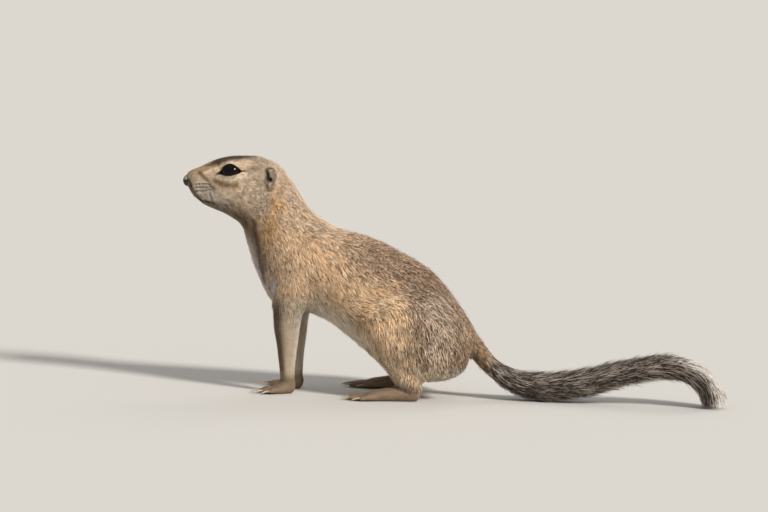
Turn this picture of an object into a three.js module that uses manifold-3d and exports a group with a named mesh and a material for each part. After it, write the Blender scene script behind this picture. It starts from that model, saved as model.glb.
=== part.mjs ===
// An unstriped ground squirrel (Xerus rutilus) sitting on its haunches with its forelegs straight,
// as a life-size still model. The solids hold the animal's outline to the tips of its coat.
//
// Millimetres. +Z is up and the floor is z = 0. The nose points to -X, the tail lies along +X and
// the left side is -Y. The origin is on the floor, under the middle of the animal's box.
import * as THREE from 'three';
import { LoftGeometry } from 'three/addons/geometries/LoftGeometry.js';
import { mergeVertices } from 'three/addons/utils/BufferGeometryUtils.js';
import Module from 'manifold-3d';

const wasm = await Module();
wasm.setup();

// ---- Driving dimensions ----
const GAP = 0.3; // between neighbouring solids
const FINEST = 0.09; // the least step left in a surface
const SHIFT_X = 2.5; // puts the origin under the middle of the length
const SIDES = { left: -1, right: 1 };

// Cross-sections of the body from the rump to the nose:
// back [x, z], underside [x, z], half width, height of the widest place as a share, squareness
const BODY = [
  [13, 34, 8.5, 25, 6, 0.5, 2],
  [11, 41.5, 3, 18, 15, 0.5, 2],
  [5, 50.5, -7, 13.5, 23, 0.5, 2],
  [-4.5, 63.5, -22, 11, 28, 0.46, 2.1],
  [-17, 76.5, -38, 15, 30.5, 0.44, 2.1],
  [-34, 86, -52.5, 25.5, 31, 0.44, 2.1],
  [-53, 94.5, -66, 36, 29.5, 0.46, 2.1],
  [-69, 98, -80, 45, 27, 0.48, 2.1],
  [-78, 101.3, -95, 49, 25.5, 0.5, 2.1],
  [-86, 105.8, -110, 52.5, 24, 0.5, 2.1],
  [-92, 111.5, -118, 65, 21.5, 0.5, 2],
  [-97, 118.5, -124.2, 78.2, 18.8, 0.5, 2],
  [-102, 126, -128.3, 91, 17.3, 0.48, 2],
  [-107.5, 133, -131.5, 98.5, 17, 0.46, 2.1],
  [-114.5, 138.2, -135.5, 101.8, 17.3, 0.44, 2.2],
  [-123, 140.4, -140, 104.6, 17, 0.42, 2.25],
  [-132, 140.8, -144, 106.3, 15.9, 0.42, 2.3],
  [-140, 140, -147.5, 107.7, 14.2, 0.42, 2.35],
  [-147, 138.1, -151, 109, 11.7, 0.4, 2.3],
  [-153, 135.4, -154.5, 110.4, 9.5, 0.4, 2.2],
  [-158, 132.6, -157.5, 112.6, 8.1, 0.42, 2.2],
  [-162.3, 130.8, -161, 115.4, 6.6, 0.46, 2.1],
  [-164.9, 128.9, -163, 118.6, 4.4, 0.5, 2],
  [-165.8, 127.1, -164.6, 120.8, 2.8, 0.5, 2],
];
const AROUND_BODY = 22; // points round each section
const PUT_IN = { from: 6, to: 37 }; // where sections are put in between, counted in half rows

// The tail's middle line and brush, from inside the rump to the tip: x, y, z, half width, half height
const TAIL = [
  [2, 0, 40, 6, 5],
  [9, 0, 33.8, 8, 6.4],
  [16.5, 0, 26.2, 8.6, 6],
  [23.4, 0, 19, 9.8, 6.7],
  [31.5, 0, 13.4, 11.6, 7.8],
  [41, 0, 9.8, 13, 9.4],
  [52, 0, 8.8, 13.5, 9.1],
  [64, 0, 9.6, 13.8, 9.4],
  [78, 0, 12, 14, 9.2],
  [94, 0, 16.6, 13.8, 8.4],
  [110, 0, 20.9, 13.4, 8.1],
  [123, 0, 23.6, 13, 7.6],
  [134, 0, 23.6, 12.8, 7.4],
  [143.5, 0, 20.6, 12.4, 7.5],
  [151, 0, 14.4, 11.5, 7.4],
  [155.3, 0, 7, 10, 7],
  [156.3, 0, -1, 8, 6.2],
];

// Where the body is parted: a point [x, z] and the way the animal runs there, towards the tail or the rump
const PARTINGS = {
  headFromNeck: { at: [-117, 112.5], along: [0.86, -0.51], reach: 27 },
  neckFromTrunk: { at: [-104, 88], along: [0.886, -0.46], reach: 31 },
  trunkFromTail: { at: [19, 27], along: [0.7, -0.71], reach: 15 },
  tailFirst: { at: [45, 9], along: [1, 0], reach: 16 },
  tailSecond: { at: [86, 14.3], along: [0.96, 0.28], reach: 16 },
  tailThird: { at: [128, 23.8], along: [1, 0], reach: 16 },
};
// The parts of the body from the nose to the tail's tip
const BODY_NODES = ['head', 'neck', 'trunk', 'tail_base', 'tail_middle', 'tail_outer', 'tail_tip'];

const EYE = { at: [-138.6, 9.2, 131.4], radius: 6.1 };
const EAR = {
  at: [-113.8, 15.6, 128.7],
  size: [4, 3.4, 6.9],
  hollow: [3, 3, 5.5],
  hollowMoved: [-0.9, 2.3, 0.2], // forwards, outwards and up from the ear's middle
  lean: [0.12, 0.16, 0.35],
};
// The pad the whiskers grow from, on either side of the muzzle
const WHISKER_PAD = { at: [-156.5, 4.3, 118.8], size: [7, 4.5, 4.6], lean: [0, 0.35, 0] };
const NOSE = { at: [-165, 0, 124.4], size: [2.5, 3.1, 3.5] };

// The foreleg from the shoulder to the wrist: x, distance out, z, half width, half length fore and aft
const FORELEG = [
  [-86, 14, 100, 4, 6],
  [-88, 16, 93, 8, 13],
  [-92.5, 17, 78, 9.5, 16.5],
  [-98, 16, 62, 8.5, 14],
  [-101.5, 14.5, 51, 7.2, 9.8],
  [-101.7, 13.7, 40, 6.2, 8.2],
  [-101, 13.4, 30, 5.4, 6.6],
  [-100.7, 13.4, 20, 4.7, 5.3],
  [-100.2, 13.4, 12, 4.4, 4.4],
  [-99.9, 13.5, 6, 4.2, 4.1],
];
const ELBOW_Z = 47.6;
const WRIST_Z = 9.5;
// The upper arm and shoulder seen from the side, as a closed outline [x, z], and how far out they start
const SHOULDER_OUTLINE = [
  [-84, 97], [-94, 91], [-104, 79], [-111, 64], [-113, 48],
  [-103, 42], [-90, 46], [-82, 58], [-76, 74], [-76, 88],
];
const SHOULDER = { middle: [-94, 72], inside: 6.3, outside: 34, points: 22 };
const RIGHT_FORELEG_BACK = 4.6; // the right foreleg stands further back than the left
const FOREFOOT_TURN = 0.42; // how far the toes point outwards

// The thigh seen from the side, as a closed outline [x, z], and how it swells outwards
const THIGH_OUTLINE = [
  [-61, 44], [-53, 60], [-33, 68], [-11, 64.5], [5, 48], [9.5, 32],
  [7.5, 18.5], [-9, 11], [-29, 12.2], [-41, 20.5], [-51, 30.5],
];
const THIGH = { middle: [-27, 38], inside: 10, flare: 14, outside: 39.5, drop: 7, rings: 5, points: 20 };

// The lower leg from the knee to the heel, as the foreleg
const SHANK = [
  [-48, 26.5, 37, 4, 3.5],
  [-45, 28, 31, 7, 6],
  [-37, 29, 22, 7.6, 7],
  [-29, 29.3, 13.5, 6.8, 6.6],
  [-25, 29, 8.5, 5.4, 5.6],
  [-23, 28.5, 5.5, 4, 4.5],
];
const ANKLE_Z = 6.5;
const HINDFOOT_TURN = 0.16;

// Soles from the heel forwards: distance, half width, height of the middle, half height
const FOREFOOT = [
  [-4.4, 2.6, 4.2, 3],
  [-2.5, 4, 4.4, 4.4],
  [1.5, 4.9, 3.9, 4.5],
  [5.5, 5.7, 2.7, 3.3],
  [9, 5.9, 1.9, 2.4],
  [10.6, 5, 1.7, 1.8],
];
const HINDFOOT = [
  [-4.6, 2.4, 4.2, 3],
  [-2.5, 4.1, 4.4, 4.6],
  [4, 4.7, 4.6, 4.9],
  [14, 5, 4, 4.3],
  [22, 5.9, 3.2, 3.6],
  [27, 6.4, 2.4, 2.9],
  [28.6, 5.6, 2.1, 2.2],
];
// Toes, inner one first: start along the sole, start across it, angle outwards, length, half thickness
const FORE_TOES = [
  [8.4, -4.3, -0.26, 6.2, 1.75],
  [9.4, -1.5, -0.09, 7.6, 1.85],
  [9.4, 1.4, 0.08, 7.4, 1.85],
  [8.4, 4.2, 0.27, 5.8, 1.7],
];
const HIND_TOES = [
  [21, -5, -0.3, 8.2, 1.8],
  [26.4, -4, -0.13, 10.4, 2],
  [27.4, -1.3, -0.03, 11.6, 2.05],
  [27.2, 1.6, 0.07, 11.2, 2.05],
  [24.6, 4.6, 0.2, 8.8, 1.9],
];
// Along a toe or claw, as shares of its length: distance, height of its middle in mm, share of its thickness
const TOE_SHAPE = [[-0.35, 2.2, 0.85], [0.35, 2.5, 1.02], [1, 1.5, 0.78]];
const CLAW_SHAPE = [[0, 1.8, 0.85], [0.55, 1.75, 0.6], [1, 0.7, 0.27]];
const FORE_CLAW = 6;
const HIND_CLAW = 4.6;

const COLOURS = {
  coat: { color: 0xb08f66, roughness: 0.95 },
  tail: { color: 0x847868, roughness: 0.95 },
  limb: { color: 0xb9a78a, roughness: 0.95 },
  eye: { color: 0x0b0908, roughness: 0.1 },
  nose: { color: 0x4c413b, roughness: 0.6 },
  claw: { color: 0x4a4038, roughness: 0.45 },
};

// ---- Making and cutting solids ----
const ACROSS = new THREE.Vector3(0, 1, 0);

// A closed geometry as a solid that can be joined and cut
function solid(geometry) {
  const bare = new THREE.BufferGeometry();
  bare.setAttribute('position', geometry.getAttribute('position'));
  bare.setIndex(geometry.index);
  const merged = mergeVertices(bare, 1e-4);
  const corners = Array.from(merged.index.array);
  const triVerts = [];
  for (let i = 0; i < corners.length; i += 3) {
    const [a, b, c] = corners.slice(i, i + 3);
    if (a !== b && b !== c && c !== a) triVerts.push(a, b, c);
  }
  return new wasm.Manifold(new wasm.Mesh({
    numProp: 3,
    vertProperties: new Float32Array(merged.getAttribute('position').array),
    triVerts: new Uint32Array(triVerts),
  }));
}

// A solid as a geometry for a mesh
function geometryOf(made) {
  const mesh = made.getMesh();
  const positions = new Float32Array(mesh.numVert * 3);
  for (let i = 0; i < mesh.numVert; i++) {
    positions.set(mesh.vertProperties.subarray(i * mesh.numProp, i * mesh.numProp + 3), i * 3);
  }
  const geometry = new THREE.BufferGeometry();
  geometry.setAttribute('position', new THREE.BufferAttribute(positions, 3));
  geometry.setIndex(new THREE.BufferAttribute(mesh.triVerts.slice(), 1));
  geometry.computeVertexNormals();
  return geometry;
}

// Rows of numbers with more rows put in smoothly, so that each stretch between two has the given steps
function smoothRows(rows, steps) {
  const count = (rows.length - 1) * steps;
  const curves = [];
  for (let c = 0; c < rows[0].length; c += 3) {
    const knots = rows.map((row) => new THREE.Vector3(row[c], row[c + 1] ?? 0, row[c + 2] ?? 0));
    curves.push(new THREE.CatmullRomCurve3(knots, false, 'catmullrom', 0.5));
  }
  return Array.from({ length: count + 1 }, (_, i) =>
    curves.flatMap((curve) => curve.getPoint(i / count).toArray()));
}

const middleOf = (ring) =>
  ring.reduce((sum, point) => sum.add(point), new THREE.Vector3()).divideScalar(ring.length);

// A closed solid through rings of points. Rings that run clockwise about the way from the first
// to the last are turned round.
function loft(rings) {
  const ring = rings[Math.floor(rings.length / 2)];
  const middle = middleOf(ring);
  const normal = new THREE.Vector3();
  ring.forEach((point, i) => {
    const next = ring[(i + 1) % ring.length];
    normal.add(point.clone().sub(middle).cross(next.clone().sub(middle)));
  });
  const ahead = middleOf(rings.at(-1)).sub(middleOf(rings[0]));
  if (normal.dot(ahead) < 0) rings.forEach((each) => each.reverse());
  return solid(new LoftGeometry(rings, { capStart: true, capEnd: true }));
}

// A solid swept along stops [x, y, z, half along side, half across it], on a path that lies square to side
function sweep(stops, side, { steps = 1, around = 12, grow = 0 } = {}) {
  const rows = smoothRows(stops, steps);
  const rings = rows.map(([x, y, z, wide, high], i) => {
    const before = rows[Math.max(i - 1, 0)];
    const after = rows[Math.min(i + 1, rows.length - 1)];
    const along = new THREE.Vector3(after[0] - before[0], after[1] - before[1], after[2] - before[2]);
    along.addScaledVector(side, -along.dot(side)).normalize();
    const rise = new THREE.Vector3().crossVectors(along, side);
    return Array.from({ length: around }, (_, j) => {
      const angle = (j / around) * 2 * Math.PI;
      return new THREE.Vector3(x, y, z)
        .addScaledVector(side, (wide + grow) * Math.cos(angle))
        .addScaledVector(rise, (high + grow) * Math.sin(angle));
    });
  });
  return loft(rings);
}

function ellipsoid(at, size, lean = [0, 0, 0], around = 12, rings = 8) {
  const geometry = new THREE.SphereGeometry(1, around, rings);
  geometry.scale(...size);
  geometry.applyMatrix4(new THREE.Matrix4().makeRotationFromEuler(new THREE.Euler(...lean)));
  geometry.translate(...at);
  return solid(geometry);
}

function box(at, size, turn = 0) {
  const geometry = new THREE.BoxGeometry(...size);
  geometry.rotateY(turn);
  geometry.translate(...at);
  return solid(geometry);
}

// A thin cut through the body, square to the way it runs
const thinCut = ({ at: [x, z], along: [alongX, alongZ], reach }) =>
  box([x, 0, z], [GAP, 80, 2 * reach], -Math.atan2(alongZ, alongX));

const grown = (size) => size.map((half) => half + GAP);

// ---- Body: rump, trunk, neck and head in one skin, then the tail ----
// cos or sin of an angle squared off: 2 keeps the ellipse, more makes the section squarer
const squared = (value, squareness) => Math.sign(value) * Math.abs(value) ** (2 / squareness);

function bodySolid() {
  // every second row is one put in between, and these are wanted only over the shoulders, neck and head
  const rows = smoothRows(BODY, 2).filter((_, i) => i % 2 === 0 || (i > PUT_IN.from && i < PUT_IN.to));
  const rings = rows.map(([backX, backZ, lowX, lowZ, half, widest, squareness]) => {
    const back = new THREE.Vector3(backX, 0, backZ);
    const low = new THREE.Vector3(lowX, 0, lowZ);
    const middle = low.clone().lerp(back, widest);
    return Array.from({ length: AROUND_BODY }, (_, i) => {
      const angle = (i / AROUND_BODY) * 2 * Math.PI;
      const height = squared(Math.sin(angle), squareness);
      const point = middle.clone().lerp(height > 0 ? back : low, Math.abs(height));
      point.y = half * squared(Math.cos(angle), squareness);
      return point;
    });
  });
  return loft(rings);
}

const tailSolid = () => sweep(TAIL, ACROSS, { around: 14 });

// ---- Eyes, ears and nose, with the beds they sit in ----
const eye = (side, grow = 0) =>
  ellipsoid([EYE.at[0], side * EYE.at[1], EYE.at[2]], Array(3).fill(EYE.radius + grow));

const leanOf = (side) => [side * EAR.lean[0], EAR.lean[1], side * EAR.lean[2]];
const earBed = (side) =>
  ellipsoid([EAR.at[0], side * EAR.at[1], EAR.at[2]], grown(EAR.size), leanOf(side), 12, 8);

function ear(side) {
  const [x, y, z] = EAR.at.map((v, i) => v + EAR.hollowMoved[i]);
  const shell = ellipsoid([EAR.at[0], side * EAR.at[1], EAR.at[2]], EAR.size, leanOf(side), 12, 8);
  return shell.subtract(ellipsoid([x, side * y, z], EAR.hollow, leanOf(side), 12, 7));
}

// ---- Legs ----
// A row of a limb on one side, moved back by some distance
const limb = (rows, side, back = 0) =>
  rows.map(([x, out, z, wide, long]) => [x + back, out * side, z, wide, long]);

// A closed outline in the side view, smoothed, about its middle
function smoothOutline(outline, { middle: [middleX, middleZ], points }) {
  const knots = outline.map(([x, z]) => new THREE.Vector3(x - middleX, 0, z - middleZ));
  return new THREE.CatmullRomCurve3(knots, true, 'catmullrom', 0.5).getPoints(points).slice(0, -1);
}

// The room the upper arm and shoulder take up: the outline carried straight outwards
function shoulderRoom(side, back, grow = 0) {
  const [middleX, middleZ] = SHOULDER.middle;
  const outline = smoothOutline(SHOULDER_OUTLINE, SHOULDER);
  return loft([SHOULDER.inside - grow, SHOULDER.outside].map((out) => {
    const middle = new THREE.Vector3(middleX + back, side * out, middleZ);
    return outline.map((point) => point.clone().setLength(point.length() + grow).add(middle));
  }));
}

// The thigh is a rounded pad: its outline, drawn in and let down towards the outside
function thigh(side, grow = 0) {
  const [middleX, middleZ] = THIGH.middle;
  const outline = smoothOutline(THIGH_OUTLINE, THIGH);
  const rings = [];
  for (let i = 0; i <= THIGH.rings; i++) {
    const turn = (i / THIGH.rings) * 0.47 * Math.PI;
    const share = i === 0 ? 0.86 : Math.cos(turn) ** 0.62;
    const swell = (THIGH.outside - THIGH.flare + grow) * Math.sin(turn);
    const out = i === 0 ? THIGH.inside - grow : THIGH.flare + swell;
    rings.push(outline.map((point) => {
      const reach = point.clone().setLength(point.length() * share + grow);
      return new THREE.Vector3(middleX, side * out, middleZ - THIGH.drop * (1 - share)).add(reach);
    }));
  }
  return loft(rings);
}

// A foot with its toes, and its claws apart from it. heel [x, y] is where it starts and turn is
// how far it points outwards.
function foot(heel, side, turn, sole, toes, clawLength) {
  const heading = (angle) => new THREE.Vector3(-Math.cos(angle), side * Math.sin(angle), 0);
  const outwards = (ahead) => new THREE.Vector3(side * ahead.y, -side * ahead.x, 0);
  const ahead = heading(turn);
  const start = new THREE.Vector3(heel[0], heel[1], 0);
  let flesh = sweep(sole.map(([along, wide, z, high]) =>
    [...start.clone().addScaledVector(ahead, along).setZ(z), wide, high]), outwards(ahead), { around: 10 });
  const claws = toes.map(([along, out, angle, length, thick]) => {
    const toeAhead = heading(turn + angle);
    const root = start.clone().addScaledVector(ahead, along).addScaledVector(outwards(ahead), out);
    const stops = (shape, from, reach, half, narrow) => shape.map(([share, z, size]) => {
      const middle = root.clone().addScaledVector(toeAhead, from + share * reach).setZ(z);
      return [...middle, half * size * narrow, half * size];
    });
    flesh = flesh.add(sweep(stops(TOE_SHAPE, 0, length, thick, 1), outwards(toeAhead), { around: 6 }));
    return sweep(stops(CLAW_SHAPE, length + GAP, clawLength, 1, 0.8), outwards(toeAhead), { around: 5 });
  });
  return { flesh, claws };
}

// ---- Putting the animal together ----
const nodes = {};
const finishes = {};
function keep(name, made, finish) {
  nodes[name] = made;
  finishes[name] = finish;
}

// The separate bodies of a solid that has been cut through, highest first
const fromTheTop = (made) =>
  made.decompose().sort((a, b) => b.boundingBox().max[2] - a.boundingBox().max[2]);

let whole = bodySolid().add(tailSolid());
for (const side of Object.values(SIDES)) {
  const [x, out, z] = WHISKER_PAD.at;
  whole = whole.add(ellipsoid([x, side * out, z], WHISKER_PAD.size, WHISKER_PAD.lean, 10, 7));
}
let body = whole.subtract(ellipsoid(NOSE.at, grown(NOSE.size), [0, 0, 0], 12, 8));
keep('nose', ellipsoid(NOSE.at, NOSE.size, [0, 0, 0], 12, 8), 'nose');

for (const [name, side] of Object.entries(SIDES)) {
  keep(`eye_${name}`, eye(side), 'eye');
  keep(`ear_${name}`, ear(side), 'coat');

  const back = side > 0 ? RIGHT_FORELEG_BACK : 0;
  const foreRows = limb(FORELEG, side, back);
  const foreleg = sweep(foreRows, ACROSS);
  const [wristX, wristY] = foreRows.at(-1);
  const fore = foot([wristX, wristY], side, FOREFOOT_TURN, FOREFOOT, FORE_TOES, FORE_CLAW);
  const aboveElbow = box([wristX, wristY, ELBOW_Z + 50], [90, 80, 100]);
  const shoulder = whole.add(foreleg).intersect(shoulderRoom(side, back));
  keep(`upper_arm_${name}`, shoulder.intersect(aboveElbow), 'coat');
  const lowerForeleg = foreleg.subtract(aboveElbow.translate(0, 0, -GAP)).add(fore.flesh)
    .subtract(box([wristX, wristY, WRIST_Z], [60, 40, GAP]));
  fromTheTop(lowerForeleg).forEach((made, i) => keep(`${['forearm', 'forefoot'][i]}_${name}`, made, 'limb'));
  fore.claws.forEach((claw, i) => keep(`fore_claw_${name}_${i + 1}`, claw, 'claw'));

  const shankRows = limb(SHANK, side);
  const [heelX, heelY] = shankRows.at(-1);
  const hind = foot([heelX - 1.5, heelY], side, HINDFOOT_TURN, HINDFOOT, HIND_TOES, HIND_CLAW);
  const lowerLeg = sweep(shankRows, ACROSS).subtract(thigh(side, GAP)).add(hind.flesh)
    .subtract(box([heelX, heelY, ANKLE_Z], [90, 40, GAP]));
  keep(`thigh_${name}`, thigh(side), 'coat');
  fromTheTop(lowerLeg).forEach((made, i) => keep(`${['shank', 'hindfoot'][i]}_${name}`, made, 'limb'));
  hind.claws.forEach((claw, i) => keep(`hind_claw_${name}_${i + 1}`, claw, 'claw'));

  body = body.subtract(eye(side, GAP)).subtract(earBed(side))
    .subtract(thigh(side, GAP)).subtract(shoulderRoom(side, back, GAP));
}

for (const parting of Object.values(PARTINGS)) body = body.subtract(thinCut(parting));
body.decompose()
  .sort((a, b) => a.boundingBox().min[0] - b.boundingBox().min[0])
  .forEach((made, i) => keep(BODY_NODES[i], made, BODY_NODES[i].startsWith('tail') ? 'tail' : 'coat'));

// ---- Scene ----
const underFloor = box([0, 0, -50], [600, 300, 100]);
const squirrel = new THREE.Group();
squirrel.position.x = SHIFT_X;
for (const [name, made] of Object.entries(nodes)) {
  const geometry = geometryOf(made.subtract(underFloor).simplify(FINEST));
  const finish = new THREE.MeshStandardMaterial({ ...COLOURS[finishes[name]], metalness: 0 });
  const mesh = new THREE.Mesh(geometry, finish);
  mesh.name = name;
  squirrel.add(mesh);
}

export default squirrel;
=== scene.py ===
import math

import bmesh
import bpy
import numpy as np
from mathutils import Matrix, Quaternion, Vector
from mathutils.kdtree import KDTree


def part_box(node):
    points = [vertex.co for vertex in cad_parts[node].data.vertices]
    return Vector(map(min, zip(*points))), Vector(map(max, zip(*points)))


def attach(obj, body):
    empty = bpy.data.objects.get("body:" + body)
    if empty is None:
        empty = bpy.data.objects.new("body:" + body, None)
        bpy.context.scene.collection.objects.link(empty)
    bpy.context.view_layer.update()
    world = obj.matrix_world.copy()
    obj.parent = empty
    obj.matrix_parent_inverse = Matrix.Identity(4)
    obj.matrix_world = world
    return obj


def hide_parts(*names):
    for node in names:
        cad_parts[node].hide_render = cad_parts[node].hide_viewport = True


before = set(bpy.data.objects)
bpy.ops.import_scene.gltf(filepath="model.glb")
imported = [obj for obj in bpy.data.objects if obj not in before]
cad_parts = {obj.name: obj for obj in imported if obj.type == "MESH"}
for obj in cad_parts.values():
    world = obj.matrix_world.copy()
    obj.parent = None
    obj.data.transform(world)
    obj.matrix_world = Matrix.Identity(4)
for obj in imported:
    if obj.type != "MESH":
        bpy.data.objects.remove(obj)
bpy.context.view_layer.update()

MM = 0.001

# ---- Lie of the coat ----
# Strokes of a comb over a ground squirrel, seen from its left side. Each tells where it is (x and height,
# mm), which way the hair lies (x and up), how long it is and how deep the coat is there (mm). Between the
# strokes the coat is blended from the nearest ones. The tail has a lie of its own, along its middle line.
STROKES = {
    "tip of the nose": (-160, 128.5, 0.7, 0.7, 1.2, 0.3),
    "bridge of the nose": (-151, 134.5, 0.85, 0.5, 1.8, 0.4),
    "brow": (-141, 139, 0.97, 0.2, 2.2, 0.55),
    "crown": (-127, 140, 1, -0.05, 2.8, 0.8),
    "back of the crown": (-112, 138, 0.85, -0.5, 3.6, 1),
    "side of the muzzle": (-157, 120, 0.95, -0.3, 0.6, 0.2),
    "whisker pad": (-152.5, 120.5, 0.95, -0.3, 0.4, 0.15),
    "cheek before the eye": (-149, 125, 0.98, 0.1, 1.7, 0.4),
    "upper lip": (-152, 115, 0.85, -0.5, 1.3, 0.3),
    "chin": (-152, 110, 0.9, -0.4, 1.8, 0.45),
    "under the eye": (-138, 124, 1, -0.12, 2, 0.45),
    "behind the eye": (-127, 131, 1, 0, 2.3, 0.55),
    "cheek": (-130, 116, 0.93, -0.36, 3, 0.8),
    "jaw": (-137, 107, 0.85, -0.5, 3, 0.8),
    "before the ear": (-120, 124, 0.95, -0.25, 2.5, 0.6),
    "ear": (-111, 130, 0.35, 0.93, 1.1, 0.12),
    "below the ear": (-114, 115, 0.6, -0.8, 3.6, 1.1),
    "throat": (-126, 98, 0.5, -0.86, 3.6, 1.2),
    "nape": (-99, 126, 0.62, -0.78, 4.6, 1.5),
    "side of the neck": (-107, 108, 0.45, -0.9, 5.2, 1.7),
    "withers": (-83, 106, 0.7, -0.7, 6, 1.9),
    "front of the chest": (-116, 78, 0.2, -1, 5, 1.6),
    "shoulder": (-96, 84, 0.45, -0.9, 6.2, 1.9),
    "upper arm": (-102, 62, 0.2, -1, 4.8, 1.3),
    "elbow": (-97, 50, 0.1, -1, 3.6, 0.9),
    "forearm": (-99, 32, 0, -1, 2.2, 0.45),
    "wrist": (-99, 11, -0.2, -1, 1.6, 0.3),
    "forefoot": (-109, 4, -1, -0.2, 1.3, 0.2),
    "front of the back": (-68, 98, 0.78, -0.62, 6.6, 2.1),
    "middle of the back": (-45, 88, 0.72, -0.69, 7.2, 2.3),
    "rear of the back": (-22, 78, 0.66, -0.75, 7.6, 2.4),
    "rump": (-2, 62, 0.6, -0.8, 8, 2.5),
    "root of the tail": (13, 42, 0.62, -0.78, 6.4, 2),
    "front of the flank": (-76, 78, 0.55, -0.83, 6.8, 2.1),
    "flank": (-60, 68, 0.65, -0.75, 7.2, 2.2),
    "low flank": (-73, 56, 0.65, -0.75, 7, 2),
    "belly": (-74, 46, 0.8, -0.6, 6.2, 1.8),
    "groin": (-55, 33, 0.5, -0.85, 6.5, 1.9),
    "front of the haunch's arc": (-57, 57, 0.8, 0, 7, 2.4),
    "top of the haunch's arc": (-41, 67, 0.9, -0.36, 7.5, 2.5),
    "rear of the haunch's arc": (-20, 66, 0.55, -0.83, 7.5, 2.5),
    "front of the haunch": (-49, 40, 0.3, -0.95, 7.5, 2.5),
    "haunch": (-28, 46, 0.15, -1, 8.2, 2.8),
    "rear of the haunch": (-4, 38, 0.25, -0.97, 8.6, 2.8),
    "bottom of the haunch": (-20, 18, 0.1, -1, 7.8, 2.5),
    "under the rump": (-8, 14, 0.5, -0.8, 6.5, 2.2),
    "shank": (-41, 17, 0.45, -0.9, 5.4, 1.5),
    "heel": (-24, 6, -0.5, -0.85, 2.4, 0.5),
    "hind foot": (-42, 6, -1, -0.1, 1.8, 0.3),
    "hind toes": (-62, 3, -1, -0.15, 1.3, 0.2),
}
# The middle line of the tail's brush from inside the rump to the tip, x and height (mm)
TAIL_LINE = [
    (4.5, 40), (11.5, 33.8), (19, 26.2), (25.9, 19), (34, 13.4), (43.5, 9.8), (54.5, 8.8), (66.5, 9.6),
    (80.5, 12), (96.5, 16.6), (112.5, 20.9), (125.5, 23.6), (136.5, 23.6), (146, 20.6), (153.5, 14.4),
    (157.8, 7), (158.8, 0),
]
TAIL_FROM, TAIL_ON = 14 * MM, 30 * MM  # where the tail leaves the rump, and from where it is all tail
TAIL_CORE = 0.42  # the share of the brush's thickness that is skin and flesh
TAIL_END = 0.93  # the share of its length that the flesh reaches
TAIL_LENGTH = 175  # about how long the brush is, mm
TAIL_SAMPLES = 160
BLEND_OVER = 4  # how far a stroke holds alone, mm
AT_ONCE = 20000  # points looked at together, to spare memory


def ramp(low, high, value):
    """0 at low, 1 at high, smooth between."""
    share = np.clip((value - low) / (high - low), 0, 1)
    return share * share * (3 - 2 * share)


def unit(vectors):
    return vectors / np.maximum(np.linalg.norm(vectors, axis=-1, keepdims=True), 1e-9)


def comb(points):
    """The coat off the tail: the way it lies, its length and its depth, in metres."""
    strokes = np.array(list(STROKES.values()))
    apart = points[:, None, ::2] / MM - strokes[None, :, :2]
    weight = 1 / ((apart**2).sum(2) + BLEND_OVER**2) ** 2
    blended = weight @ strokes[:, 2:] / weight.sum(1, keepdims=True)
    lie = unit(np.stack([blended[:, 0], np.zeros(len(points)), blended[:, 1]], 1))
    return lie, blended[:, 2] * MM, blended[:, 3] * MM


def tail_samples():
    """Even samples along the tail's middle line, and the way it runs at each."""
    knots = np.array(TAIL_LINE) * MM
    at = np.concatenate([[0], np.cumsum(np.linalg.norm(np.diff(knots, axis=0), axis=1))])
    even = np.linspace(0, at[-1], TAIL_SAMPLES)
    line = np.zeros((TAIL_SAMPLES, 3))
    line[:, 0] = np.interp(even, at, knots[:, 0])
    line[:, 2] = np.interp(even, at, knots[:, 1])
    for _ in range(8):
        line[1:-1] = (line[:-2] + 2 * line[1:-1] + line[2:]) / 4
    return line, unit(np.gradient(line, axis=0)), even / at[-1]


tail_line, tail_way, tail_share = tail_samples()


def on_tail(points):
    """How much a point belongs to the tail, and its nearest sample of the middle line."""
    nearest = np.empty(len(points), int)
    for start in range(0, len(points), AT_ONCE):
        part = points[start:start + AT_ONCE]
        nearest[start:start + AT_ONCE] = ((part[:, None] - tail_line[None]) ** 2).sum(2).argmin(1)
    return ramp(TAIL_FROM, TAIL_ON, points[:, 0]), nearest


# ---- Skin: its shape ----
# One closed hide over head, neck, trunk, legs and tail, with no seam. It lies inside the flesh solids, which
# reach to the tips of the coat, by the coat's depth. It has lids round the eyes, a mouth and the hollows of
# the ears.
FLESH = sorted(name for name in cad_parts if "claw" not in name)
OVERLAP = 0.35 * MM  # each solid swells by this, so that the thin gaps between them close
VOXEL = 0.85 * MM
SIDES = {"left": -1, "right": 1}
EYE_AXIS = (-0.2, 0.93, 0.29)  # the way the right eye looks
EYE_HALF = 6.8  # half the length of the opening between the lids, mm
LID_HIGH, LID_LOW = 3.35, 3.35  # how far the lids open above and below the slit, mm
LID_THICK = 0.5  # how far a lid stands out over the eyeball, mm
LIPS_DEEP = 0.75  # depth of the line of the lips, mm
EAR_AT, EAR_DEEP = (-113.4, 129), 1.3  # where the ear's hollow is (x and height) and its depth, mm
# The line of the lips: x and the height it shows at from the side, mm
MOUTH = [(-162.5, 116), (-160.5, 115), (-157.5, 113.8), (-154, 112.6), (-150, 111.8), (-145.5, 110.8)]


def new_object(name, mesh):
    made = bpy.data.objects.new(name, mesh)
    bpy.context.scene.collection.objects.link(made)
    return made


def shaped(name, shape):
    """A new object with a finished bmesh as its mesh."""
    made = new_object(name, bpy.data.meshes.new(name))
    shape.to_mesh(made.data)
    shape.free()
    return made


def applied(obj):
    """Makes an object's modifiers part of its mesh."""
    mesh = bpy.data.meshes.new_from_object(obj.evaluated_get(bpy.context.evaluated_depsgraph_get()))
    obj.modifiers.clear()
    obj.data = mesh
    return obj


def read(rows, key):
    """One triple of numbers from each row of a mesh."""
    found = np.empty(len(rows) * 3, np.float32)
    rows.foreach_get(key, found)
    return found.reshape(-1, 3).astype(float)


def coordinates(mesh):
    return read(mesh.vertices, "co")


def normals_of(mesh):
    return read(mesh.vertex_normals, "vector")


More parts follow.
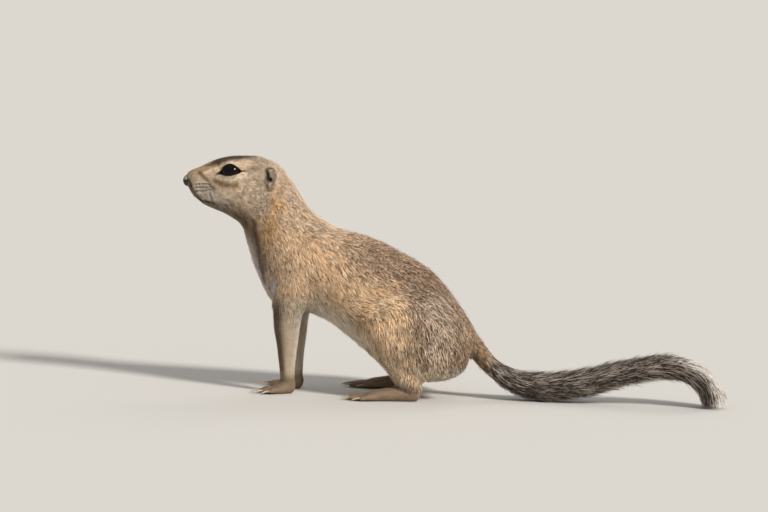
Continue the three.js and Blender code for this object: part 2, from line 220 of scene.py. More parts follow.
def put(mesh, points):
    mesh.vertices.foreach_set("co", points.astype(np.float32).ravel())
    mesh.update()


def middle(node):
    low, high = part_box(node)
    return np.array((low + high) / 2)


def seen_height(points):
    """Height in mm, let down a little towards the sides, so that one mark crosses the rounded flank level."""
    return 0.46 + 0.9945 * points[:, 2] / MM - 0.1045 * abs(points[:, 1]) / MM


def to_line(x, z, line):
    """Distance in the side view from points to a line through some points, mm."""
    nearest = np.full(len(x), 1e9)
    for (ax, az), (bx, bz) in zip(line, line[1:]):
        length = (bx - ax) ** 2 + (bz - az) ** 2
        share = np.clip(((x - ax) * (bx - ax) + (z - az) * (bz - az)) / length, 0, 1)
        nearest = np.minimum(nearest, np.hypot(x - ax - share * (bx - ax), z - az - share * (bz - az)))
    return nearest


def from_lips(points):
    """Distance in mm to the line where the lips meet, which arches up to the groove under the nose."""
    arch = 3.2 * np.exp(-abs(points[:, 1]) / MM / 2.6) * ramp(-154, -159, points[:, 0] / MM)
    return to_line(points[:, 0] / MM, seen_height(points) - arch, MOUTH)


def eye_frame(points):
    """Points from the eye on their side, in mm: along the slit, above it, out of the head, and how far
    outside the opening between the lids they are."""
    side = np.where(points[:, 1] > 0, 1.0, -1.0)
    centre = middle("eye_right")
    from_eye = (points * np.stack([np.ones_like(side), side, np.ones_like(side)], 1) - centre) / MM
    out = unit(np.array(EYE_AXIS))
    along = unit(np.array([1, 0, 0.06]) - out * (out @ np.array([1, 0, 0.06])))
    up = np.cross(along, out)
    up = up if up[2] > 0 else -up
    u, v, w = from_eye @ along, from_eye @ up, from_eye @ out
    bend = -0.016 * u * u
    lid = np.where(v > bend, LID_HIGH, LID_LOW) * (1 - np.minimum(abs(u) / EYE_HALF, 1) ** 1.9)
    outside = np.where(abs(u) < EYE_HALF, abs(v - bend) - lid, np.hypot(abs(u) - EYE_HALF, v - bend))
    return u, v, w, outside


def with_lids(points):
    """The skin drawn over the eyeballs as lids, and sunk behind them inside the opening."""
    u, v, w, outside = eye_frame(points)
    radius = (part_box("eye_right")[1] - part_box("eye_right")[0]).x / 2 / MM
    ball = np.sqrt(np.clip(radius**2 - u * u - v * v, 0, None))
    near = (np.hypot(u, v) < 12) & (w > 0)
    lid = np.maximum(w, ball + LID_THICK)
    sunk = np.where(ball > 0.3 * radius, ball - 1.2, w - 0.8)
    opened = ramp(0.2, -0.3, outside)
    fold = 0.3 * np.exp(-(((outside - 2.3) / 0.6) ** 2))
    moved = lid * (1 - opened) + sunk * opened - fold
    step = np.where(near, moved - w, 0)[:, None] * unit(np.array(EYE_AXIS)) * MM
    step[:, 1] *= np.where(points[:, 1] > 0, 1, -1)
    return points + step


def flesh_mesh():
    """All flesh solids, each swollen a little, in one mesh."""
    whole = bmesh.new()
    for name in FLESH:
        part = bmesh.new()
        part.from_mesh(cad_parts[name].data)
        bmesh.ops.remove_doubles(part, verts=part.verts, dist=0.002 * MM)
        part.normal_update()
        for vert in part.verts:
            vert.co += vert.normal * OVERLAP
        if name == "nose":  # the skin comes round the pad and stays behind its face
            seat = Vector(middle(name))
            for vert in part.verts:
                vert.co = seat + (vert.co - seat) * Vector((1, 1.12, 1.06)) + Vector((1.3 * MM, 0, 0))
        mesh = bpy.data.meshes.new(name + "_swollen")
        part.to_mesh(mesh)
        part.free()
        whole.from_mesh(mesh)
        bpy.data.meshes.remove(mesh)
    mesh = bpy.data.meshes.new("skin")
    whole.to_mesh(mesh)
    whole.free()
    return mesh


def fine_parts(points):
    """True on the ears, feet and face, where the skin keeps its detail."""
    x, y, z = points[:, 0] / MM, abs(points[:, 1]) / MM, points[:, 2] / MM
    ears = (y > 13.8) & (x > -120) & (x < -106) & (z > 117)
    return ears | (x < -142) & (z > 100) | (z < 9.5) & (x < -18) | (z < 13) & (x < -85)


def weighted(obj, name, weights):
    """A vertex group from a weight for each vertex."""
    group = obj.vertex_groups.new(name=name)
    for weight in np.unique(weights[weights > 0]):
        group.add(np.flatnonzero(weights == weight).tolist(), float(weight), "REPLACE")
    return name


def smoothed(obj, name, weights, steps):
    """Evens out a mesh where the weights say so."""
    smooth = obj.modifiers.new(name, "SMOOTH")
    smooth.factor, smooth.iterations, smooth.vertex_group = 0.5, steps, weighted(obj, name, weights)
    return applied(obj)


# The swollen solids become one hide, which is rounded off, least on the ears, feet and face.
skin = new_object("skin", flesh_mesh())
remesh = skin.modifiers.new("one hide", "REMESH")
remesh.mode = "VOXEL"
remesh.voxel_size = VOXEL
applied(skin)
detailed = fine_parts(coordinates(skin.data))
smoothed(skin, "rounded", np.where(detailed, 0.12, 1), steps=34)

points = coordinates(skin.data)
x, y, z = points[:, 0] / MM, abs(points[:, 1]) / MM, points[:, 2] / MM
over_shank = (x > -64) & (x < -12) & (z > 9.5) & (z < 34) & (y > 12)
smoothed(skin, "crease between haunch and shank filled", over_shank.astype(float), steps=60)

# The hide sinks by the coat's depth. The tail shrinks to its core, which stops short of the brush's tip.
points, normals = coordinates(skin.data), normals_of(skin.data)
tailed, nearest = on_tail(points)
depth = comb(points)[2]
centre = tail_line[nearest]
core = centre + (points - centre) * TAIL_CORE
past = np.clip(tail_share[nearest] - TAIL_END, 0, None)
core -= tail_way[nearest] * (past * 0.9 * TAIL_LENGTH * MM)[:, None]
points = (points - normals * depth[:, None]) * (1 - tailed[:, None]) + core * tailed[:, None]
put(skin.data, points)

head = (points[:, 0] < -104 * MM) & (points[:, 2] > 98 * MM)
thinner = skin.modifiers.new("fewer faces on the body", "DECIMATE")
thinner.ratio, thinner.vertex_group = 0.5, weighted(skin, "coarse", (~(detailed | head)).astype(float))
applied(skin)

# Round the eyes and along the mouth the faces are made finer.
shape = bmesh.new()
shape.from_mesh(skin.data)
bmesh.ops.triangulate(shape, faces=shape.faces)
shape.verts.ensure_lookup_table()
places = np.array([vert.co for vert in shape.verts])
u, v, w, outside = eye_frame(places)
near_eye = (np.hypot(u, v) < 10.5) & (w > 0)
near_mouth = (places[:, 0] < -143 * MM) & (from_lips(places) < 2.5)
fine = near_eye | near_mouth
edges = [edge for edge in shape.edges if fine[edge.verts[0].index] and fine[edge.verts[1].index]]
bmesh.ops.subdivide_edges(shape, edges=edges, cuts=1, use_grid_fill=True)
bmesh.ops.triangulate(shape, faces=shape.faces)
shape.to_mesh(skin.data)
shape.free()
# The line of the lips, the groove under the nose, the lids and the hollows of the ears are pressed in.
points, normals = coordinates(skin.data), normals_of(skin.data)
lips = ramp(-143, -147, points[:, 0] / MM) * LIPS_DEEP * np.exp(-((from_lips(points) / 0.5) ** 2))
under_nose = (points[:, 0] < -158 * MM) & (abs(seen_height(points) - 119) < 2.4)
lips = np.maximum(lips, 0.45 * under_nose * np.exp(-((points[:, 1] / MM / 0.4) ** 2)))
points = with_lids(points - normals * (lips * MM)[:, None])
across, high = points[:, 0] / MM - EAR_AT[0], seen_height(points) - EAR_AT[1]
hollow = ramp(1.1, 0.55, np.hypot((across + high * 0.28) / 1.5, high / 4.4)) * (abs(points[:, 1]) > 10 * MM)
points[:, 1] -= np.sign(points[:, 1]) * hollow * EAR_DEEP * MM
points[:, 2] = np.maximum(points[:, 2], 0)
put(skin.data, points)
skin.data.shade_smooth()

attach(skin, "root")
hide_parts(*[name for name in FLESH if not name.startswith(("eye", "nose"))])

# ---- Skin: its markings ----
# Sandy back with dark flecks, warm flanks, white belly, a cream ring round the eye, a dark crown and a rufous
# patch on the side of the neck. Skin and coat take their colours from the same marks.

# Each row of whiskers: x and height of the first, mm, how many, and the rise to the next
WHISKER_ROWS = [(-157, 122.1, 5, 0.08), (-156.4, 120.3, 4, 0.06), (-156.4, 117.9, 5, 0.24)]
WHISKERS_APART = 1.9  # mm along a row
SPINE = [(-108, 133), (-96, 120), (-84, 110), (-70, 103), (-50, 98), (-30, 88), (-12, 72), (2, 55), (12, 42)]
# Marks along a line, laid over each other in this order: the colour, how flecked it is, the line (x and
# height, mm), half its width and the softness of its edge (mm), and how well it covers what is under it
BODY_MARKS = {
    "warm flank": ((229, 191, 150), 0.17, [(-82, 84), (-74, 70), (-66, 58)], 9, 9, 0.9),
    "warm shoulder": ((237, 201, 162), 0.2, [(-100, 88), (-97, 74), (-98, 62)], 10, 8, 0.75),
    "withers": ((212, 184, 154), 0.38, [(-92, 112), (-84, 102), (-78, 96)], 6, 7, 0.7),
    "front of the haunch": ((236, 200, 158), 0.15, [(-54, 56), (-46, 44), (-38, 34), (-34, 50)], 9, 8, 0.85),
    "rear of the haunch": ((206, 186, 165), 0.4, [(-14, 52), (-6, 38), (-12, 26)], 9, 8, 0.7),
    "bottom of the haunch": ((208, 180, 146), 0.22, [(-34, 22), (-18, 14)], 8, 6, 0.65),
    # Painted shade: a darker ochre line in the fold where the haunch's arc meets the flank
    "painted shade in the fold over the haunch": (
        (184, 138, 90), 0.3, [(-57, 38), (-55.5, 48), (-51, 56), (-44, 62), (-33, 65)], 1.5, 2.8, 0.6,
    ),
    "nape": ((211, 186, 161), 0.42, [(-106, 134), (-100, 124), (-94, 114)], 7, 6, 0.8),
    "side of the neck": ((206, 178, 147), 0.42, [(-102, 112), (-96, 100)], 7, 6, 0.7),
    "rufous patch": (
        (214, 168, 108), 0.55, [(-107, 113), (-112.5, 107), (-110.5, 99), (-113.5, 90)], 3.0, 3.4, 0.75,
    ),
    "shade of the throat": (
        (120, 98, 76), 0.3, [(-136, 104), (-124, 98), (-119, 84), (-115, 74)], 3.6, 3, 0.8,
    ),
    # Painted shade: a dark line in the crease under the throat, at the front of the neck
    "painted shade in the crease of the throat": (
        (70, 48, 40), 0.2, [(-125.5, 103.8), (-121.5, 102), (-120.5, 97)], 0.7, 1.2, 0.75,
    ),
}
FACE_MARKS = {
    "jaw": ((104, 90, 72), 0.35, [(-150, 109), (-138, 104.5), (-130, 102)], 3.4, 2.4, 0.8),
    "cheek behind the mouth": ((100, 86, 69), 0.5, [(-147, 111.2), (-136, 110), (-129, 106)], 1.4, 2.2, 0.65),
    "chin": ((128, 116, 102), 0.15, [(-157, 110.5), (-150, 108)], 2.4, 1.6, 0.8),
    "band under the eye": ((108, 80, 42), 0.5, [(-145.5, 124.2), (-140, 122), (-133, 122)], 1.1, 2.2, 0.85),
    "whisker pad": ((162, 152, 137), 0.0, [(-155.8, 120.4), (-150, 119.6), (-147.5, 116.5)], 2.7, 1.4, 0.95),
    "upper lip": ((186, 178, 170), 0.2, [(-152, 114.6), (-145, 113.2), (-140, 112.5)], 1.5, 1.1, 0.8),
    "stripe before the eye": (
        (92, 68, 40), 0.2, [(-155.4, 129.2), (-153, 126.8), (-150.4, 124.6), (-148.6, 121.6), (-146, 119.4)],
        0.8, 1.2, 0.85,
    ),
    "line over the brow": (
        (92, 68, 46), 0.2, [(-144.6, 135.4), (-147.5, 134.6), (-151, 133.4)], 0.7, 0.9, 0.85,
    ),
    "crease of the brow": ((66, 46, 34), 0.1, [(-143.9, 136.2), (-143.8, 133.8)], 0.3, 0.7, 0.8),
    "pale line before the eye": (
        (232, 206, 178), 0.0, [(-145.4, 132), (-148.6, 130.7), (-152, 129)], 0.7, 0.8, 0.9,
    ),
    "pale end of the brow": (
        (228, 200, 170), 0.05, [(-131, 135.5), (-126.5, 135.4), (-123, 134.6)], 1.3, 1, 0.85,
    ),
    "behind the ear": ((188, 164, 136), 0.3, [(-106.6, 131), (-105.2, 124), (-105.8, 116)], 1.8, 1.8, 0.85),
    "streak behind the eye": (
        (116, 92, 66), 0.8, [(-127.5, 131.4), (-123, 132.6), (-119, 134)], 1.0, 1.3, 0.55,
    ),
}
MOUTH_MARKS = {
    "shade under the lip": ((74, 56, 48), 0.0, [(-154, 111.9), (-149.6, 111.4)], 0.6, 0.5, 0.85),
    "shade in the corner": ((74, 56, 48), 0.0, [(-147.2, 111.4), (-145.4, 110.9)], 0.5, 0.5, 0.8),
    "shade between the streaks": ((112, 98, 90), 0.0, [(-148.4, 116.8), (-147, 113)], 0.6, 0.6, 0.6),
    "front silvery streak": ((234, 226, 220), 0.0, [(-149.5, 117.4), (-148.8, 113)], 0.4, 0.5, 0.85),
    "rear silvery streak": ((234, 226, 220), 0.0, [(-147.3, 117.6), (-145.2, 113)], 0.5, 0.5, 0.85),
    "short silvery streak": ((206, 196, 188), 0.0, [(-152.8, 116), (-152.6, 113.4)], 0.3, 0.5, 0.7),
    # Painted highlight: a paler patch of skin on the top of the nose, above the pad
    "painted highlight on top of the nose": ((176, 166, 148), 0.05, [(-162.6, 128), (-160.6, 126.4)], 1.2, 0.9, 0.85),
}


def linear(red, green, blue):
    """A colour in the light that the shaders work in, from the 0 to 255 of a paint chart."""
    chart = np.array([red, green, blue]) / 255
    return np.where(chart > 0.04045, ((chart + 0.055) / 1.055) ** 2.4, chart / 12.92)


def marked(points, normals):
    """The colour of the coat, how flecked it is, and how bare the skin is, at each point."""
    x, s, y = points[:, 0] / MM, seen_height(points), abs(points[:, 1]) / MM
    nx, nz = normals[:, 0], normals[:, 2]
    tint = np.tile(linear(206, 175, 140), (len(points), 1))
    fleck = np.full(len(points), 0.38)
    bare = np.zeros(len(points))

    def paint(colour, flecks, mask):
        nonlocal tint, fleck
        tint = tint + mask[:, None] * (linear(*colour) - tint)
        fleck = fleck + mask * (flecks - fleck)

    def streak(line, width, soft, strength=1.0):
        """How well a mark of this half width, along a line, covers each point."""
        return strength * ramp(width + soft, max(width - soft, 0), to_line(x, s, line))

    def stripe(colour, flecks, *shape):
        paint(colour, flecks, streak(*shape))

    off_spine = to_line(x, s, SPINE)
    # Trunk and neck
    paint((184, 154, 125), 0.95, ramp(34, 14, off_spine) * ramp(-80, -46, x))  # back
    paint((160, 134, 109), 0.9, ramp(-44, -8, x) * ramp(46, 26, off_spine))  # rump
    for mark in BODY_MARKS.values():
        stripe(*mark)
    # Underside, chest and the insides of the legs
    under = ramp(-0.3, -0.75, nz) * ramp(-122, -112, x) * ramp(12, 4, x)
    paint((224, 210, 188), 0.0, under * ramp(9, 16, s))
    chest = ramp(-0.6, -0.92, nx) * ramp(98, 84, s) * ramp(54, 60, s) * ramp(-100, -108, x)
    paint((198, 187, 183), 0.05, chest)
    edge_of_chest = streak([(-120.5, 95), (-118, 85), (-117.5, 80), (-113.6, 65)], 0.7, 1.3, 0.8)
    paint((84, 62, 44), 0.3, edge_of_chest * ramp(-0.99, -0.9, nx))
    # Forelegs and feet
    fore = ramp(-80, -86, x) * ramp(60, 48, s)
    paint((200, 185, 164), 0.2, fore)
    paint((228, 220, 206), 0.0, fore * ramp(0.5, 0.95, nx) * ramp(10, 18, s))  # pale behind
    paint((104, 80, 58), 0.35, fore * ramp(0.0, -0.6, nx) * ramp(6, 14, s) * 0.9)  # brown in front
    paint((134, 116, 96), 0.2, fore * ramp(13, 6, s))  # forefeet
    shank = ramp(26, 16, s) * ramp(-22, -34, x) * ramp(-84, -76, x)
    paint((196, 172, 144), 0.12, shank * 0.8)
    paint((140, 120, 100), 0.2, ramp(-82, -76, x) * ramp(-14, -20, x) * ramp(9.5, 6, s))  # hind feet
    # Root of the tail
    stripe((172, 144, 112), 0.6, [(8, 40), (18, 30), (26, 22)], 4, 5, 0.7)

    # Head
    head = ramp(-100, -108, x) * ramp(100, 108, s)
    paint((203, 185, 162), 0.78, head * ramp(-108, -116, x))
    stripe((205, 183, 156), 0.4, [(-118, 136), (-108, 137)], 3, 3, 0.7)  # behind the crown
    stripe((146, 130, 108), 0.15, [(-159.4, 127), (-158, 124)], 1.6, 2.2, 0.6)  # side of the nose
    bridge = streak([(-160, 128.5), (-152, 132.5), (-146, 134.5)], 3.4, 2) * ramp(-143, -147, x)
    paint((170, 148, 118), 0.3, bridge)
    crown = streak([(-146, 136), (-137, 139.8), (-124, 140.6), (-112, 138)], 2.6, 1.5, 0.95)
    paint((54, 38, 24), 0.4, crown * ramp(-1, 6, 3 - y - 0.6 * (x + 118)))
    for mark in FACE_MARKS.values():
        stripe(*mark)

    # Ring and rim of the eye
    u, v, w, outside = eye_frame(points)
    eyed = (w > 0) & (np.hypot(u, v) < 14)
    ring = ramp(3.5, 2.3, outside + 0.08 * np.maximum(-u, 0) - 0.08 * np.maximum(u, 0)) * eyed
    paint((214, 192, 165), 0.0, ring)
    paint((226, 211, 190), 0.0, 0.8 * ring * ramp(-1, -3, v))
    ahead = np.clip((-u - 6) / 2.8, 0, 1)
    corner = ramp(0.4, -0.15, abs(v + 0.7 + 0.8 * ahead) - 1.35 * (1 - ahead)) * (u < -5) * (u > -9) * eyed
    rear = ramp(0.75, 0.2, np.hypot(np.maximum(abs(u - 8.2) - 1.4, 0), v + 0.6)) * eyed * ramp(10.4, 8.4, u)
    rim = np.maximum(np.maximum(ramp(0.75, 0.45, outside) * eyed, corner), rear)
    paint((30, 22, 18), 0.0, rim)
    bare = np.maximum(bare, ramp(0.7, 0.5, outside) * eyed)

    # Lips, nose and whisker spots
    # Painted shade on the front of the muzzle, between nose and lip, fading towards the middle
    shaded_front_of_muzzle = streak([(-160.2, 120.6), (-159, 118), (-156.8, 115.3), (-154.4, 113.8)], 1.3, 1.1, 0.9)
    paint((98, 80, 73), 0.1, shaded_front_of_muzzle * (0.4 + 0.6 * ramp(0.5, 3, y)))
    stripe((32, 24, 21), 0.0, [(-161.6, 124.4), (-160.5, 122.2), (-160.1, 120.8)], 0.8, 0.7, 0.9)
    lips = ramp(0.75, 0.25, from_lips(points)) * ramp(-143.5, -146, x)
    groove = ramp(0.55, 0.25, y) * (x < -158) * ramp(2.9, 2.4, abs(s - 119.2))
    paint((70, 56, 50), 0.0, np.maximum(lips, groove))
    for mark in MOUTH_MARKS.values():
        stripe(*mark)
    around = np.sqrt(((x + 162.3) / 3.1) ** 2 + (y / 3.5) ** 2 + ((s - 123.2) / 3.5) ** 2)
    leather = ramp(1.32, 1.06, around)
    paint((34, 28, 26), 0.0, leather)
    bare = np.maximum(bare, leather)
    for start, height, count, rise in WHISKER_ROWS:
        above = [(start - 0.4, height + 0.9), (start + 4, height + 1), (start + 7.6, height + 0.7 + 4 * rise)]
        paint((242, 234, 218), 0.0, streak(above, 0.15, 0.5, 0.66) * (y > 2))
        for spot in range(count):
            away = np.hypot((x - start - spot * WHISKERS_APART) * 0.8, s - height - spot * rise)
            paint((44, 34, 27), 0.0, ramp(0.8, 0.3, away) * (y > 2))
    lowest = streak([(-155.6, 116.6), (-151.5, 117), (-148.6, 118)], 0.15, 0.5, 0.7)
    paint((236, 228, 214), 0.0, lowest * (y > 2))
    # Ears
    ear = (y > 11) * ramp(7.4, 6, np.hypot((x + 111.4) * 1.45, s - 128.6))
    paint((206, 182, 154), 0.1, 0.8 * ear * ramp(-115.2, -113.8, x))
    # The inner ear's pinkish cream, painted paler than its own colour: painted light in the shaded hollow
    paint((240, 218, 198), 0.0, (y > 11) * ramp(4.6, 3.4, np.hypot((x + 111.6) * 1.7, s - 128.4)))
    # Painted shade: the dark arch, notch and slit where the ear opens
    arch = streak([(-115, 132.3), (-113.6, 133.5), (-111.6, 133.2), (-110.4, 131.6)], 0.6, 0.5, 0.9) * (y > 8)
    shaded_notch = streak([(-113.6, 124.2), (-113.9, 122.2)], 0.7, 0.7, 0.75) * (y > 8)
    paint((52, 36, 28), 0.0, np.maximum(arch, shaded_notch))
    slit = streak([(-115, 132.2), (-114.3, 130), (-113.7, 127.1), (-112.8, 126.3)], 1.1, 0.4)
    slit = np.maximum(slit, streak([(-113.4, 126.5), (-112.7, 126.2)], 1.6, 0.4)) * (y > 8)
    paint((20, 13, 11), 0.0, slit)
    bare = np.maximum(bare, 0.9 * slit)
    return tint, np.clip(fleck, 0, 1), bare


def give(mesh, name, values):
    """Puts one number or one colour per vertex on a mesh."""
    values = np.asarray(values, np.float32)
    if values.ndim == 1:
        mesh.attributes.new(name, "FLOAT", "POINT").data.foreach_set("value", values)
    else:
        with_alpha = np.concatenate([values, np.ones((len(values), 1), np.float32)], 1)
        mesh.attributes.new(name, "FLOAT_COLOR", "POINT").data.foreach_set("color", with_alpha.ravel())


points, normals = coordinates(skin.data), normals_of(skin.data)
tint, fleck, bare = marked(points, normals)
tailed, nearest = on_tail(points)
tint += tailed[:, None] * (linear(92, 80, 70) - tint)
give(skin.data, "tint", tint)
give(skin.data, "fleck", fleck * 0.4)
give(skin.data, "bare", bare)


def new_group(name, inputs, outputs):
    """A shader node group with the named sockets."""
    group = bpy.data.node_groups.new(name, "ShaderNodeTree")
    for label, kind in inputs:
        group.interface.new_socket(label, in_out="INPUT", socket_type=kind)
    for label, kind in outputs:
        group.interface.new_socket(label, in_out="OUTPUT", socket_type=kind)
    return group, group.nodes.new("NodeGroupInput").outputs, group.nodes.new("NodeGroupOutput").inputs


def node(tree, kind, sockets=None, **settings):
    """A shader node with its settings, its fixed values and its links."""
    made = tree.nodes.new(kind)
    for key, value in settings.items():
        setattr(made, key, value)
    for key, value in (sockets or {}).items():
        if isinstance(value, bpy.types.NodeSocket):
            tree.links.new(value, made.inputs[key])
        else:
            made.inputs[key].default_value = value
    return made


def attribute(tree, name):
    return node(tree, "ShaderNodeAttribute", attribute_name=name)


def math_node(tree, operation, first, second=0.0):
    return node(tree, "ShaderNodeMath", {0: first, 1: second}, operation=operation).outputs[0]


def ramp_node(tree, value, low, high, out_low=0.0, out_high=1.0):
    sockets = {0: value, 1: low, 2: high, 3: out_low, 4: out_high}
    return node(tree, "ShaderNodeMapRange", sockets, interpolation_type="SMOOTHSTEP").outputs[0]


def mix_node(tree, share, first, second, kind="MIX"):
    sockets = {0: share, 6: first, 7: second}
    return node(tree, "ShaderNodeMix", sockets, data_type="RGBA", blend_type=kind).outputs[2]


# Hair is darker at its root, partly its own darker base and partly painted shade deep in the coat. Most
# hairs end pale, the others have a dark band or end dark. "Lot" is the luck of a hair.
hair_colour, given, out = new_group(
    "colour of the coat",
    [("Tint", "NodeSocketColor")] + [(label, "NodeSocketFloat") for label in ("Fleck", "Lot", "Along")],
    [("Color", "NodeSocketColor")],
)
tree = hair_colour
# Two more lots, made from the first: one moves the bands along the hair, one makes it lighter or darker.
second = math_node(tree, "FRACT", math_node(tree, "MULTIPLY", given["Lot"], 7.31))
third = math_node(tree, "FRACT", math_node(tree, "MULTIPLY", given["Lot"], 23.7))
shift = ramp_node(tree, second, 0.0, 1.0, -0.12, 0.12)
along = math_node(tree, "ADD", given["Along"], shift)
luck = ramp_node(tree, third, 0.0, 1.0, 0.82, 1.22)
body = node(tree, "ShaderNodeVectorMath", {0: given["Tint"], "Scale": luck}, operation="SCALE").outputs[0]
# Pale tips, paler where the coat is light
light = node(tree, "ShaderNodeVectorMath", {0: given["Tint"], 1: (0.3, 0.6, 0.1)}, operation="DOT_PRODUCT")
light = ramp_node(tree, light.outputs["Value"], 0.06, 0.4, 0.05, 0.7)
tipped = math_node(tree, "MULTIPLY", ramp_node(tree, along, 0.78, 0.9), light)
body = mix_node(tree, tipped, body, (0.86, 0.78, 0.68, 1))
# A dark band below the tip of a share of the hairs, and a dark tip on fewer of them
dark_share = math_node(tree, "SUBTRACT", given["Fleck"], given["Lot"])
banded = ramp_node(tree, dark_share, -0.1, 0.1)
rise = ramp_node(tree, along, 0.6, 0.68)
fall = ramp_node(tree, along, 0.84, 0.76)
band = math_node(tree, "MULTIPLY", math_node(tree, "MULTIPLY", rise, fall), banded)
dark_tip = math_node(tree, "SUBTRACT", math_node(tree, "MULTIPLY", given["Fleck"], 0.6), given["Lot"])
late = ramp_node(tree, along, 0.7, 0.78)
dark_tip = math_node(tree, "MULTIPLY", ramp_node(tree, dark_tip, -0.04, 0.04), late)
band = math_node(tree, "MULTIPLY", math_node(tree, "MAXIMUM", band, dark_tip), 0.95)
body = mix_node(tree, band, body, (0.068, 0.036, 0.018, 1))
# Darker towards the root: partly the hair's own colour, partly painted shade deep in the coat
root_colour_and_shade = mix_node(tree, 1.0, body, (0.66, 0.54, 0.42, 1), "MULTIPLY")
tip_colour = mix_node(tree, 1.0, body, (1.06, 1.06, 1.06, 1), "MULTIPLY")
body = mix_node(tree, ramp_node(tree, given["Along"], 0.1, 0.75), root_colour_and_shade, tip_colour)
tree.links.new(body, out["Color"])


def new_material(name, slot_colour, roughness, specular=0.5):
    made = bpy.data.materials.new(name)
    made.use_nodes = True
    made.diffuse_color = slot_colour
    shader = made.node_tree.nodes["Principled BSDF"]
    shader.inputs["Roughness"].default_value = roughness
    shader.inputs["Specular IOR Level"].default_value = specular
    return made, made.node_tree, shader


def roughen(tree, shader, strength, height, relief):
    """Fine relief on a material, of a height in metres."""
    bump = node(tree, "ShaderNodeBump", {"Strength": strength, "Distance": height, "Height": relief})
    tree.links.new(bump.outputs[0], shader.inputs["Normal"])


hide, tree, shader = new_material("hide", (0.5, 0.38, 0.25, 1), 0.75, 0.25)
place = node(tree, "ShaderNodeTexCoord").outputs["Object"]
speck = node(tree, "ShaderNodeTexNoise", {"Vector": place, "Scale": 1500, "Detail": 1})
luck = ramp_node(tree, speck.outputs["Fac"], 0.3, 0.7)
coloured = node(tree, "ShaderNodeGroup", node_tree=hair_colour)
tree.links.new(attribute(tree, "tint").outputs["Color"], coloured.inputs["Tint"])
tree.links.new(attribute(tree, "fleck").outputs["Fac"], coloured.inputs["Fleck"])
tree.links.new(luck, coloured.inputs["Lot"])
coloured.inputs["Along"].default_value = 0.45
tree.links.new(coloured.outputs[0], shader.inputs["Base Color"])
bared = attribute(tree, "bare").outputs["Fac"]
tree.links.new(ramp_node(tree, bared, 0, 1, 0.75, 0.32), shader.inputs["Roughness"])
roughen(tree, shader, 0.4, 0.3 * MM, speck.outputs["Fac"])
skin.data.materials.clear()
skin.data.materials.append(hide)

bpy.context.view_layer.objects.active = skin
skin.select_set(True)
skin.data.uv_layers.new(name="OFBake")
bpy.ops.object.mode_set(mode="EDIT")
bpy.ops.mesh.select_all(action="SELECT")
bpy.ops.uv.smart_project(angle_limit=math.radians(66), island_margin=0.002)
bpy.ops.object.mode_set(mode="OBJECT")
skin.select_set(False)

# ---- Eyes ----
# Two large eyeballs, almost black and wet, at their real depth between the lids. Each is a smooth ball, and
# the skin lies over its rim.
wet, _, shader = new_material("eye", (0.01, 0.008, 0.006, 1), 0.12, 0.14)
shader.inputs["Base Color"].default_value = (0.006, 0.004, 0.0035, 1)
for side in SIDES:
    low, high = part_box("eye_" + side)
    ball = bmesh.new()
    bmesh.ops.create_uvsphere(ball, u_segments=48, v_segments=32, radius=(high - low).x / 2)
    bmesh.ops.translate(ball, verts=ball.verts, vec=(low + high) / 2)
    eyeball = shaped("eyeball_" + side, ball)
    eyeball.data.shade_smooth()
    eyeball.data.materials.append(wet)
    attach(eyeball, "root")
    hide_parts("eye_" + side)

# ---- Coat ----
# Thousands of short tufts of hair that lie along the body, smallest on the face and the feet. Each is a slim
# closed wedge that rises from the skin and bends back along it.
rng = np.random.default_rng(seed=7)
mesh = skin.data
corners = np.empty(len(mesh.polygons) * 3, np.int32)
mesh.polygons.foreach_get("vertices", corners)
corners = corners.reshape(-1, 3)
flat = np.empty(len(mesh.loops) * 2, np.float32)
mesh.uv_layers["OFBake"].data.foreach_get("uv", flat)
flat = flat.reshape(-1, 3, 2).astype(float)
skin_points, skin_normals = coordinates(mesh), normals_of(mesh)
edge_a = skin_points[corners[:, 1]] - skin_points[corners[:, 0]]
edge_b = skin_points[corners[:, 2]] - skin_points[corners[:, 0]]
areas = np.linalg.norm(np.cross(edge_a, edge_b), axis=1) / 2 / MM**2
face_middles = skin_points[corners].mean(1)
face_length = comb(face_middles)[1]
face_tailed = on_tail(face_middles)[0]
face_bare = bare[corners].mean(1)
skin_tree = KDTree(len(skin_points))
for index, point in enumerate(skin_points):
    skin_tree.insert(point, index)
skin_tree.balance()

SOFT = 0.62  # how far a tuft is shaded as the skin under it, not as its own facets
OFF_GROUND = 0.15 * MM  # no tuft goes lower
PATCH = 0.0014  # half the width of a tuft's own place on the unwrap


def width_of(length):
    return 0.043 * length + 0.08 * MM


def settled(places):
    """The places drawn back on to the skin, and the way out of the skin there."""
    found = np.array([skin_tree.find(place)[1] for place in places])
    out = skin_normals[found]
    return places - out * ((places - skin_points[found]) * out).sum(1)[:, None], out


def at_corners(rings, tip):
    """Three numbers for each corner of each wedge, from those of its rings and its tip."""
    around = [np.repeat(ring[:, None], 3, 1) for ring in rings]
    return np.concatenate(around + [tip[:, None]], 1).reshape(-1, 3)


